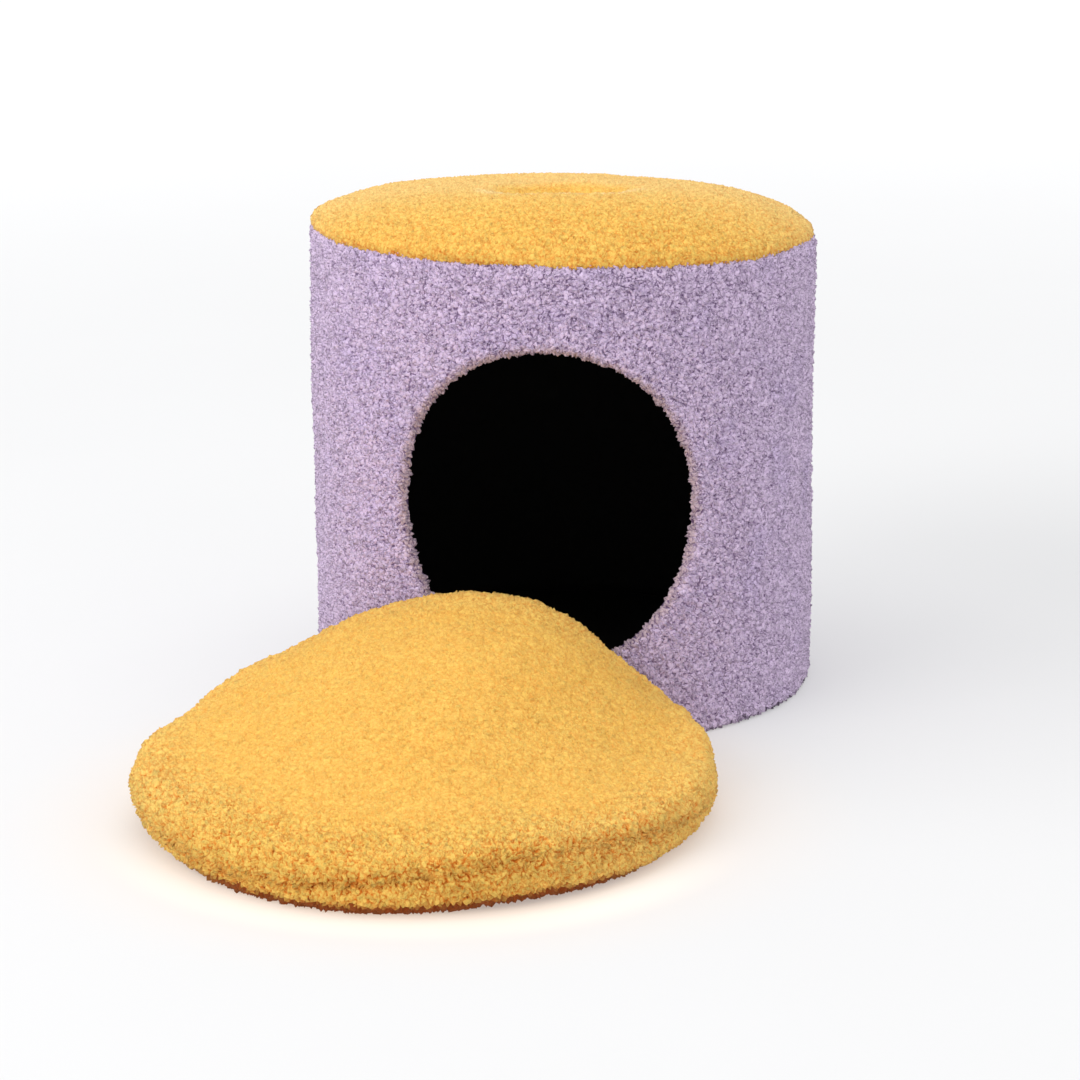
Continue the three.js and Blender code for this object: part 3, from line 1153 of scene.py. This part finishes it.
@dataclass
class TopPad:
    """The crowned pad on top, covered in yellow fleece, with a shallow dish in its middle."""

    finish: FleeceFinish
    wall: DenWall
    radius: float = 198 * MM
    rim_height: float = 2 * MM
    edge_rise: float = 16.5 * MM
    shoulder_power: float = 6.0
    shoulder_fullness: float = 0.72
    dome: float = 9.5 * MM
    front_lift: float = 0.088
    side_lift: float = 0.05
    dish_depth: float = 14.5 * MM
    dish_radius: float = 52 * MM
    dish_steepness: float = 1.5
    lip_share: float = 1.15
    lip_width: float = 0.26
    # Strength of the painted highlight on the dish's front lip and over the far half.
    lip_painted_highlight: float = 0.75
    back_painted_highlight: float = 0.5
    waves: tuple = ((70 * MM, 2.0, 1.1 * MM), (25 * MM, 3.0, 0.4 * MM))
    plush: float = 0.3
    front_plush: float = 0.33
    foot: float = -0.9 * MM
    drawn_in: float = 5 * MM
    pile: float = 1.7 * MM
    hem: tuple = ((1.0, 0.0), (0.4, 1.1 * MM), (0.1, 0.2 * MM))
    round_steps: int = 120
    ring_steps: int = 29

    @property
    def laid_width(self) -> float:
        """Width of the square in which the flat cloth is laid out."""
        return 2.2 * self.radius

    def height(self, x: np.ndarray, y: np.ndarray) -> np.ndarray:
        """Finds how high the pile's tips stand above the level seam.

        Args:
            x: places to the right of the middle.
            y: places behind the middle.

        Returns:
            The height of each place.
        """
        distance = np.hypot(x, y)
        share = np.minimum(distance / self.radius, 1.0)
        inside = 1.0 - share**2
        shoulder = self.edge_rise * (1.0 - share**self.shoulder_power) ** self.shoulder_fullness
        dish = self.dish_depth * np.exp(-self.dish_steepness * (distance / self.dish_radius) ** 4)
        tilt = (self.side_lift * x - self.front_lift * y) * inside
        return self.rim_height + shoulder + self.dome * inside + tilt - dish

    def build(self) -> bpy.types.Object:
        """Builds the pad as one closed piece, its edge drawn in at the seam.

        Returns:
            The pad's cover.
        """
        shares = 1.0 - (1.0 - np.linspace(1.0, 0.0, self.ring_steps + 1)[:-1]) ** 1.25
        around = circle(self.round_steps)
        edge = self.radius - self.pile
        rows = [(0.5 * edge, self.foot)]
        rows += [(edge - share * self.drawn_in, self.foot - drop) for share, drop in self.hem]
        points = [np.column_stack([around * reach, np.full(self.round_steps, up)]) for reach, up in rows]
        for share in shares:
            ring = around * edge * share
            top = self.height(ring[:, 0] * self.radius / edge, ring[:, 1] * self.radius / edge)
            lowered = self.pile * float(smooth(np.array((1.0 - share) / 0.12)))
            points.append(np.column_stack([ring, top - lowered]))
        crown_height = float(self.height(np.zeros(1), np.zeros(1))[0]) - self.pile
        whole = np.concatenate([*points, np.array([[0.0, 0.0, self.foot], [0.0, 0.0, crown_height]])])
        whole[:, 2] += self.wall.seam_height + self.wall.seam_rise(whole[:, 0], whole[:, 1])
        piece = new_piece("pad_fleece", whole, closed_rings(len(points), self.round_steps))
        cover = np.ones(len(whole))
        cover[: self.round_steps] = 0.0
        cover[-2] = 0.0
        self.soften(piece.data, whole, cover)
        return piece

    def soften(self, mesh: bpy.types.Mesh, whole: np.ndarray, cover: np.ndarray) -> None:
        """Adds the slow unevenness of the filling and marks the cloth for its pile, with a painted highlight
        on the dish's front lip and over the far half.

        Args:
            mesh: the pad's cover.
            whole: its vertices before they move.
            cover: 1 where pile grows.
        """
        soft = sum(drift(whole, size, seed) * rise for size, seed, rise in self.waves)
        swell(mesh, soft * cover)
        x, y = whole[:, 0], whole[:, 1]
        from_dish = np.hypot(x, y) / self.dish_radius
        # Painted highlight: a pale arc on the dish's front lip and a paler far half, where the fleece catches
        # light at a low angle.
        lip = bump((from_dish - self.lip_share) / self.lip_width) * smooth(0.4 - y / self.dish_radius)
        back = smooth(0.9 * y / self.radius + 0.75) * smooth(2.5 * from_dish - 2.2)
        none = np.zeros(len(whole))
        mark(
            mesh,
            pile_cover=cover,
            plush=self.plush + self.front_plush * smooth(0.5 - 0.5 * y / self.radius),
            rim=none,
            crest=np.clip(self.lip_painted_highlight * lip + self.back_painted_highlight * back, 0.0, 1.0),
            sunk=none,
            zone=none,
        )
        mark_layout(mesh, whole[:, :2] / self.laid_width + 0.5)

    def dress(self) -> None:
        """Builds the pad, grows its pile and hands both to the frame."""
        pad = self.build()
        pile = Pile(
            spacing=2.3 * MM, size=4.6 * MM, clump=5.0 * MM, relief=1.2 * MM, seed=23,
            finish=self.finish, across=self.laid_width, along=self.laid_width,
        )
        curls = pile.grow("pad_curls", pad, zones=1)
        for piece in [pad, *curls]:
            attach(piece, BODY)
            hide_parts("top_pad")
            report(piece)


@dataclass
class Lining:
    """Black cloth that covers the den's inside: its wall, floor and ceiling."""

    finish: LiningFinish
    base_finish: LiningFinish
    wall: DenWall
    outer_radius: float = 187.6 * MM
    thickness: float = 2.2 * MM
    floor: float = 8.1 * MM
    wall_foot: float = 10.9 * MM
    wall_top_gap: float = 3.2 * MM
    ceiling_gap: float = 2.8 * MM
    trimmed: float = 14 * MM
    held_near_door: float = 25 * MM
    slack: float = 1.2 * MM
    round_steps: int = 72
    ring_shares: tuple = (1.0, 0.97, 0.9, 0.8, 0.68, 0.55, 0.42, 0.3, 0.18, 0.08)

    def wall_cloth(self) -> bpy.types.Object:
        """Makes the upright cloth, softly rippled but held flat near the doorway, with a hole a hem wider
        than the doorway.

        Returns:
            The piece.
        """
        hole = self.wall.door_radius + DOORWAY_HEM
        flat, quads, edges = self.wall.layout(hole, self.wall_foot, self.wall.seam_height - self.wall_top_gap)
        to_radius = self.wall.radius - self.outer_radius
        wander = drift(np.column_stack([flat[:, 0] * 3.0, flat[:, 1] * 0.6, flat[:, 0] * 0.0]), 60 * MM, 4.0)
        near = np.hypot(flat[:, 0], flat[:, 1] - self.wall.door_height) - hole
        ripple = self.slack * (0.5 + 0.5 * wander) * smooth(near / self.held_near_door)
        outer = self.wall.bent(flat, to_radius + ripple)
        inner = self.wall.bent(flat, to_radius + self.thickness + ripple)
        return self.doubled("inner_wall_cloth", outer, inner, quads, list(edges.values()))

    def disc(self, name: str, height: float, leans: bool, seed: float) -> bpy.types.Object:
        """A round cloth a little slack between its edge stitches.

        Args:
            name: the piece's name.
            height: height of its underside at the axis.
            leans: whether it leans as the seam of the wall does.
            seed: which pattern of slackness.

        Returns:
            The piece.
        """
        around = circle(self.round_steps)
        flat = np.concatenate([around * self.outer_radius * s for s in self.ring_shares] + [np.zeros((1, 2))])
        heights = np.full(len(flat), height)
        if leans:
            heights += self.wall.seam_rise(flat[:, 0], flat[:, 1])
        low = np.column_stack([flat, heights])
        high = low.copy()
        high[:, 2] += self.thickness
        wave = drift(np.column_stack([flat, np.zeros(len(flat))]), 50 * MM, seed)
        held = smooth((1.0 - np.hypot(flat[:, 0], flat[:, 1]) / self.outer_radius) * 6.0)
        high[:, 2] += 0.5 * self.slack * (1.0 + wave) * held
        rows = ring_numbers(len(self.ring_shares), self.round_steps)
        top = join_quads(rows, closed=True) + cap(rows[-1], len(flat) - 1)
        return self.doubled(name, low, high, top, [rows[0]])

    @staticmethod
    def doubled(name: str, one: np.ndarray, other: np.ndarray, faces: list, edges: list) -> bpy.types.Object:
        """A closed cloth from the vertices of its two faces.

        Args:
            name: the piece's name.
            one: vertices of one face.
            other: vertices of the other, in the same order.
            faces: the faces of one side as vertex numbers.
            edges: its edges as rings of vertex numbers.

        Returns:
            The piece.
        """
        shift = len(one)
        closed = faces + [tuple(v + shift for v in reversed(face)) for face in faces]
        for edge in edges:
            closed += join_quads([edge, [v + shift for v in edge]], closed=True)
        return new_piece(name, np.concatenate([one, other]), closed)

    def dress(self) -> None:
        """Builds the three cloths, hands them to the frame and dyes the base."""
        cloth = self.finish.cloth()
        ceiling = self.wall.seam_height - self.ceiling_gap - 1.2 * self.slack
        upright = self.wall_cloth()
        floor = self.disc("inner_floor_cloth", self.floor, leans=False, seed=5.0)
        roof = self.disc("inner_ceiling_cloth", ceiling, leans=True, seed=6.0)
        around = FULL_TURN * self.outer_radius
        tall = self.wall.seam_height - self.trimmed
        doorway = math.pi * (self.wall.door_radius + DOORWAY_HEM) ** 2
        across = 2 * self.outer_radius
        disc_area = math.pi * self.outer_radius**2
        facts = [
            (upright, "lining_wall", (around, tall), around * tall - doorway, "wall_fleece"),
            (floor, "lining_floor", (across, across), disc_area, "base_panel"),
            (roof, "lining_ceiling", (across, across), disc_area, "pad_fleece"),
        ]
        for piece, node, flat, area, support in facts:
            piece.data.materials.append(cloth)
            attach(piece, BODY)
            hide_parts(node)
            report(piece)
        base = frame["nodes"]["base_panel"]
        base.data.materials.clear()
        base.data.materials.append(self.base_finish.cloth())


# ---- The cushion ----


@dataclass
class Cushion:
    """The loose round cushion, its pushed edge propped up by the den."""

    finish: FleeceFinish
    wall: DenWall
    x: float = -76 * MM
    y: float = -345.5 * MM
    radius: float = 210.5 * MM
    thickness: float = 42.6 * MM
    crown: float = 10 * MM
    wall_limit: float = 183.2 * MM
    cornering: float = 5.0
    lift: float = 88 * MM
    lift_from: float = -190 * MM
    lift_side: float = 10 * MM
    spread_left: float = 254 * MM
    spread_right: float = 154 * MM
    slack_stretches: tuple = (
        (-1.2, 0.6, 3 * MM),
        (-2.98, 0.9, 8 * MM),
        (2.38, 0.5, 9 * MM),
        (0.78, 0.3, -8 * MM),
        (0.4, 0.35, 7 * MM),
    )
    edge_bulges: tuple = ((-2.8, 0.55, 4 * MM), (-0.7, 0.5, 1 * MM), (0.45, 0.35, 2 * MM))
    edge_swells: tuple = ((2, 3.7 * MM), (3, 4.4 * MM))
    pile: float = 3.4 * MM
    pressed_pile: float = 2 * MM
    seam_height: float = 17 * MM
    seam_wander: tuple = (-1.05, 1.2, 16 * MM)
    seam_run: tuple = (-1.35, 1.5)
    seam_width: float = 5.5 * MM
    seam_depth: float = 5 * MM
    waves: tuple = (
        (1.0, 95 * MM, 8.0, 2.2 * MM),
        (0.5, 30 * MM, 9.0, 0.9 * MM),
        (1.0, 16 * MM, 10.0, 0.7 * MM),
    )
    top_share: float = 0.88
    top_plush: float = 0.28
    under_plush: float = 0.2
    under_cover: float = 0.35
    # Strength of the painted light on the flank's sides, away from the front.
    side_painted_highlight: float = 0.1
    # Height and fade of the painted contact shadow along the foot of the flank.
    contact_height: float = 11.5 * MM
    contact_fade: float = 3.5 * MM
    front: float = -1.75
    shaded_side: float = -1.5
    under_shares: tuple = (0.12, 0.3, 0.5, 0.7, 0.85)
    flank_steps: int = 31
    top_steps: int = 22
    round_steps: int = 200
    laid_half: float = 0.48

    @property
    def laid_width(self) -> float:
        """Width of the square in which the flat cloth is laid out."""
        return 2.4 * self.radius

    @property
    def to_den(self) -> float:
        """Direction from the cushion's middle to the den's axis."""
        return math.atan2(-self.y, -self.x)

    @property
    def den_distance(self) -> float:
        """How far the den's axis lies from the cushion's middle."""
        return math.hypot(self.x, self.y)

    def propped(self, x: np.ndarray, y: np.ndarray) -> np.ndarray:
        """Finds how high the cushion's underside is propped up.

        Args:
            x: places to the right of the cushion's middle.
            y: places behind it.

        Returns:
            The height of each place above the floor.
        """
        direction = self.to_den
        forward = x * math.cos(direction) + y * math.sin(direction)
        sideways = x * math.sin(direction) - y * math.cos(direction) - self.lift_side
        pushed = self.den_distance - self.wall.radius
        climb = np.maximum((forward - self.lift_from) / (pushed - self.lift_from), 0.0)
        profile = np.where(climb < 1.0, 0.5 * (smooth(climb) + climb**2), climb)
        spread = np.where(sideways < 0.0, self.spread_left, self.spread_right)
        outer = smooth(2.0 * np.hypot(x, y) / self.radius - 1.0)
        slack = np.zeros_like(x)
        for angle, width, rise in self.slack_stretches:
            slack += rise * bump(turn_between(np.arctan2(y, x), angle) / width)
        return np.maximum(self.lift * profile * bump(sideways / spread) + slack * outer, 0.0)

    def edge_reach(self, angle: np.ndarray) -> np.ndarray:
        """Finds how far the pile's tips reach from the middle.

        Args:
            angle: directions in plan from the cushion's middle.

        Returns:
            The reach in each direction, cut back where the den is in the way.
        """
        free = np.full_like(angle, self.radius)
        for times, rise in self.edge_swells:
            free += rise * np.sin(times * angle)
        for middle, width, rise in self.edge_bulges:
            free += rise * bump(turn_between(angle, middle) / width)
        turn = turn_between(angle, self.to_den)
        tangent = math.asin(self.wall_limit / self.den_distance)
        inside = np.minimum(turn, tangent)
        across = self.den_distance * np.sin(inside)
        behind = np.sqrt(np.maximum(self.wall_limit**2 - across**2, 0.0))
        to_wall = self.den_distance * np.cos(inside) - behind
        limit = to_wall / np.cos(np.minimum(1.2 * (turn - inside), 1.5))
        power = -self.cornering
        return (free**power + limit**power) ** (1.0 / power)

    def section(self) -> list[tuple[float, float, float, float]]:
        """Half section of the base cloth, from under the middle to the top of the middle.

        Returns:
            Rows of share of the way to the edge, inset from the edge, height, and 1 on the flank.
        """
        low = self.pressed_pile
        tall = self.thickness - self.pile - low
        half = 0.5 * tall
        rows = [(share, 0.0, low, 0.0) for share in self.under_shares]
        for degrees in np.linspace(-90.0, 90.0, self.flank_steps):
            angle = math.radians(degrees)
            above = degrees >= 0.0
            bulge = abs(math.cos(angle)) ** (0.75 if above else 1.0)
            rise = math.sin(angle) ** 0.75 if above else math.sin(angle)
            rows.append((1.0, half * (1.0 - bulge), low + half * (1.0 + rise), 1.0))
        for share in np.linspace(0.95, 0.05, self.top_steps):
            rows.append((share, half * share, low + tall + self.crown * (1.0 - share**2), 0.0))
        return rows

    def in_place(self, flat: np.ndarray, height: np.ndarray) -> np.ndarray:
        """Leans the cushion against the den.

        Args:
            flat: places in plan from the cushion's middle.
            height: height of each above the underside.

        Returns:
            Places in the frame, each raised at right angles to the propped underside.
        """
        x, y = flat[:, 0], flat[:, 1]
        base = self.propped(x, y)
        step = 0.1 * MM
        slope_x = (self.propped(x + step, y) - base) / step
        slope_y = (self.propped(x, y + step) - base) / step
        up = height / np.sqrt(slope_x**2 + slope_y**2 + 1.0)
        return np.stack([self.x + x - slope_x * up, self.y + y - slope_y * up, base + up], 1)

    def seam_strength(self, around: np.ndarray, height: np.ndarray) -> np.ndarray:
        """Finds how strongly the wandering edge seam draws each place in.

        Args:
            around: direction of each place from the cushion's middle.
            height: its height above the underside.

        Returns:
            A strength from 0 to 1 for each place.
        """
        middle, width, rise = self.seam_wander
        seam_at = self.seam_height + rise * bump(turn_between(around, middle) / width)
        facing, run = self.seam_run
        open_share = 0.25 + 0.75 * smooth(2.0 * (run - turn_between(around, facing)))
        return open_share * np.exp(-(((height - seam_at) / self.seam_width) ** 2))

    def build(self) -> bpy.types.Object:
        """Builds the cushion's cover as one closed piece with its seam, dents and slack.

        Returns:
            The cover.
        """
        count = self.round_steps
        around = circle(count)
        reach = self.edge_reach(np.arange(count) * FULL_TURN / count) - self.pile
        rows = self.section()
        rings = [around * (share * reach - inset)[:, None] for share, inset, _, _ in rows]
        flat = np.concatenate([*rings, np.zeros((2, 2))])
        height = np.append(np.repeat([row[2] for row in rows], count), (rows[0][2], rows[-1][2]))
        flank = np.append(np.repeat([row[3] for row in rows], count), (0.0, 0.0))
        whole = self.in_place(flat, height)
        piece = new_piece("cushion_fleece", whole, closed_rings(len(rows), count))
        turn = np.arctan2(flat[:, 1], flat[:, 0])
        seam = flank * self.seam_strength(turn, height)
        upper = smooth((height / self.thickness - 0.3) / 0.4)
        pucker = 0.5 + 0.5 * drift(np.column_stack([np.cos(turn), np.sin(turn), 0 * turn]), 0.07, 7.0)
        inward = seam * self.seam_depth * (0.3 + 0.9 * pucker)
        soft = np.zeros(len(whole))
        for stretch, size, seed, rise in self.waves:
            soft += drift(whole * np.array([stretch, 1.0, 1.0]), size, seed) * rise * upper
        swell(piece.data, soft - inward)
        hidden = np.append(np.repeat([row[2] <= self.pressed_pile for row in rows], count), (True, False))
        self.mark_pile(piece.data, whole, flat, height, seam, hidden)
        inner_share = np.append(np.repeat(1.0 - np.arange(len(rows)) / len(rows), count), (1.0, 0.0))
        laid = np.stack([np.cos(turn), np.sin(turn)], 1) * inner_share[:, None]
        mark_layout(piece.data, laid * self.laid_half + 0.5)
        return piece

    def mark_pile(
        self, mesh: bpy.types.Mesh, whole: np.ndarray, flat: np.ndarray, height: np.ndarray,
        seam: np.ndarray, hidden: np.ndarray,
    ) -> None:
        """Marks the cloth for its pile: pressed flat on top and underneath, lush on the flank.

        Args:
            mesh: the cushion's cover.
            whole: its vertices before they are softened.
            flat: the same places in plan, from the cushion's middle.
            height: height of each above the underside.
            seam: 1 in the drawn-in edge seam.
            hidden: whether each lies against the floor.
        """
        turn = np.arctan2(flat[:, 1], flat[:, 0])
        from_front = turn_between(turn, self.front)
        facing = smooth(2.3 - 2.0 * from_front)
        on_top = smooth((height / self.thickness - self.top_share - 0.05 * facing) / 0.13)
        lush = 0.5 + 0.5 * smooth(1.9 - from_front) + 0.7 * np.clip(seam, 0.0, 1.0)
        patchy = 0.5 + 0.5 * drift(whole, 12 * MM, 13.0)
        outer = smooth((np.hypot(flat[:, 0], flat[:, 1]) / self.radius - 0.6) / 0.25)
        # Painted contact shadow along the foot of the flank, strongest towards the front.
        shaded = smooth(2.3 - 2.0 * turn_between(turn, self.shaded_side))
        contact = smooth((self.contact_height * (0.6 + 0.4 * shaded) - height) / self.contact_fade)
        mark(
            mesh,
            pile_cover=np.where(hidden, self.under_cover, 1.0),
            plush=np.where(hidden, self.under_plush, lush * (1.0 - on_top) + self.top_plush * on_top),
            # Painted shade in the seam's crease, in the edge colour.
            rim=np.clip(0.5 * seam * patchy, 0.0, 1.0),
            # Painted light on the flank's sides, away from the front.
            crest=self.side_painted_highlight * (1.0 - on_top) * smooth((from_front - 0.4) / 0.6),
            # Painted contact shadow.
            sunk=contact * outer * (0.35 + 0.65 * shaded),
            zone=(whole[:, 0] > self.x).astype(float),
        )

    def dress(self) -> None:
        """Builds the cushion, grows its pile and hands both to the frame."""
        cover = self.build()
        pile = Pile(
            spacing=2.5 * MM, size=5.0 * MM, clump=6.2 * MM, relief=2.0 * MM, seed=37,
            finish=self.finish, across=self.laid_width, along=self.laid_width,
        )
        curls = pile.grow("cushion_curls", cover, zones=2)
        for piece in [cover, *curls]:
            press_on_floor(piece)
            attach(piece, BODY)
            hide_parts("cushion")
            report(piece)


# ---- The studio ----


@dataclass(frozen=True)
class Lamp:
    """A soft square lamp."""

    name: str
    spot: tuple[float, float, float]
    size: float
    power: float
    tint: Colour

    def hang(self, aim: tuple[float, float, float]) -> None:
        """Hangs the lamp.

        Args:
            aim: the place that it is turned to.
        """
        data = bpy.data.lights.new(self.name, "AREA")
        data.shape = "SQUARE"
        data.size = self.size
        data.energy = self.power
        data.color = self.tint
        lamp = linked(bpy.data.objects.new(self.name, data))
        lamp.location = self.spot
        lamp.rotation_euler = (Vector(aim) - Vector(self.spot)).to_track_quat("-Z", "Y").to_euler()


@dataclass
class Studio:
    """Floor, lights and camera."""

    lens: float = 116.67
    sensor: float = 36.0
    sight: float = 60.0
    distance: float = 2.7284
    azimuth: float = 0.0676
    height: float = 0.8807
    pitch: float = 0.2759
    heading: float = -0.0746
    roll: float = -0.0063
    floor_half: float = 14.0
    floor_far: float = 0.6
    far_reach: tuple = (0.9, 4.0)
    floor_near: float = 0.345
    # Painted light on the floor: a warm pool round the cushion, a darker patch at the den's right and a glow
    # along the cushion's front edge.
    cushion_spot: tuple = (-0.076, -0.345, 0.0)
    warm_near: Colour = (0.395, 0.348, 0.312)
    warm_reach: tuple = (0.2, 0.33)
    shade_spot: tuple = (0.6, 0.2, 0.0)
    shade_near: float = 0.25
    shade_reach: tuple = (0.1, 0.75)
    glow: Colour = (0.66, 0.56, 0.46)
    glow_rise: tuple = (0.19, 0.205)
    glow_fall: tuple = (0.21, 0.255)
    glow_front: tuple = (-0.56, -0.38)
    lit_middle: tuple = (0.0, -0.1, 0.2)
    room_tint: Colour = (0.97, 0.98, 1.0)
    room_strength: float = 0.9
    lamps: tuple = (
        Lamp("key_light", (-2.3, -2.2, 2.1), 2.2, 38.5, (1.0, 0.985, 0.96)),
        Lamp("fill_light", (2.4, -2.2, 2.0), 2.6, 8.0, (1.0, 0.99, 0.98)),
        Lamp("top_light", (-0.3, 0.3, 3.2), 3.0, 38.0, (1.0, 1.0, 1.0)),
    )

    def camera(self) -> None:
        """Places the camera a little to the right and above, looking down at the doorway."""
        data = bpy.data.cameras.new("camera")
        data.lens = self.lens
        data.sensor_width = self.sensor
        data.clip_end = self.sight
        camera = linked(bpy.data.objects.new("camera", data))
        level = math.cos(self.pitch)
        east, north = math.sin(self.heading), math.cos(self.heading)
        ahead = Vector((east * level, north * level, -math.sin(self.pitch)))
        right = Vector((north, -east, 0.0))
        above = right.cross(ahead)
        turned_right = right * math.cos(self.roll) + above * math.sin(self.roll)
        turned_up = above * math.cos(self.roll) - right * math.sin(self.roll)
        basis = Matrix((turned_right, turned_up, -ahead)).transposed().to_4x4()
        aside, back = self.distance * math.sin(self.azimuth), self.distance * math.cos(self.azimuth)
        camera.matrix_world = Matrix.Translation(Vector((aside, -back, self.height))) @ basis
        bpy.context.scene.camera = camera

    def floor(self) -> None:
        """Lays a wide pale floor that glows, more strongly far off, with a painted warm pool of bounced light
        round the cushion, a painted shadow at the den's right and a painted glow along the cushion's front
        edge.
        """
        half = self.floor_half
        corners = np.array([[-half, -half, 0.0], [half, -half, 0.0], [half, half, 0.0], [-half, half, 0.0]])
        floor = new_piece("studio_floor", corners, [(0, 1, 2, 3)], outward=False)
        make = FinishMaker("studio_floor")
        place = make.place()
        far = make.vector("LENGTH", {0: place}, "Value")
        from_cushion = make.vector("DISTANCE", {0: place, 1: self.cushion_spot}, "Value")
        from_shade = make.vector("DISTANCE", {0: place, 1: self.shade_spot}, "Value")
        # Painted warm bounce light round the cushion.
        near = make.mix(make.ramp(from_cushion, *self.warm_reach), self.warm_near, grey(self.floor_near))
        # Painted shadow to the right of the den.
        near = make.mix(make.ramp(from_shade, *self.shade_reach), grey(self.shade_near), near)
        # Painted glow along the cushion's front edge, which lightens its contact shadow.
        in_front = 1.0 - make.ramp(make.axes()[1], *self.glow_front)
        inside = 1.0 - make.ramp(from_cushion, *self.glow_fall)
        ring = make.ramp(from_cushion, *self.glow_rise) * inside
        near = make.mix(ring * in_front, near, self.glow)
        floor.data.materials.append(make.finish({
            "Base Color": make.mix(make.speckle(place, Grain.FLOOR), grey(0.465), grey(0.48)),
            "Roughness": 0.8,
            "Specular IOR Level": 0.1,
            "Emission Color": make.mix(make.ramp(far, *self.far_reach), near, grey(self.floor_far)),
            "Emission Strength": 1.0,
        }))

    def light(self) -> None:
        """Soft light from the front left, a fill from the right, one above and an even pale room."""
        for lamp in self.lamps:
            lamp.hang(self.lit_middle)
        world = bpy.data.worlds.new("room")
        world.use_nodes = True
        room = world.node_tree.nodes["Background"].inputs
        room["Color"].default_value = (*self.room_tint, 1.0)
        room["Strength"].default_value = self.room_strength
        bpy.context.scene.world = world
        bpy.context.scene.view_settings.view_transform = "Standard"

    def set_up(self) -> None:
        """Sets up the whole studio."""
        self.camera()
        self.floor()
        self.light()


def main() -> None:
    """Builds the cat bed piece by piece and sets up the studio."""
    logging.basicConfig(level=logging.INFO, format="%(name)s: %(message)s")
    lilac = FleeceFinish(
        name="lilac_fleece",
        tip=linear(236, 214, 244),
        root=linear(106, 80, 120),
        patch=linear(206, 188, 238),
        edge=linear(214, 190, 200),
        painted_highlight=linear(228, 212, 236),
        depth=linear(60, 44, 66),
        sheen=0.18,
    )
    yellow = FleeceFinish(
        name="yellow_fleece",
        tip=linear(247, 205, 103),
        root=linear(219, 125, 39),
        patch=linear(246, 197, 91),
        edge=linear(224, 142, 54),
        painted_highlight=linear(253, 233, 172),
        depth=linear(142, 66, 22),
        sheen=0.12,
        clump=5.8 * MM,
        knobs=0.35,
        # Deeper painted shade towards the roots.
        shade=CurlShade(deep=0.44, tips_from=0.66),
    )
    lining = LiningFinish("black_lining", linear(17, 15, 14), 1.2 * MM, 0.2 * MM)
    base = LiningFinish("base_cloth", linear(22, 21, 22), 1.6 * MM, 0.3 * MM)
    wall = DenWall(finish=lilac)
    wall.dress()
    TopPad(finish=yellow, wall=wall).dress()
    Lining(finish=lining, base_finish=base, wall=wall).dress()
    Cushion(finish=yellow, wall=wall).dress()
    Studio().set_up()


if __name__ == "__main__":
    main()
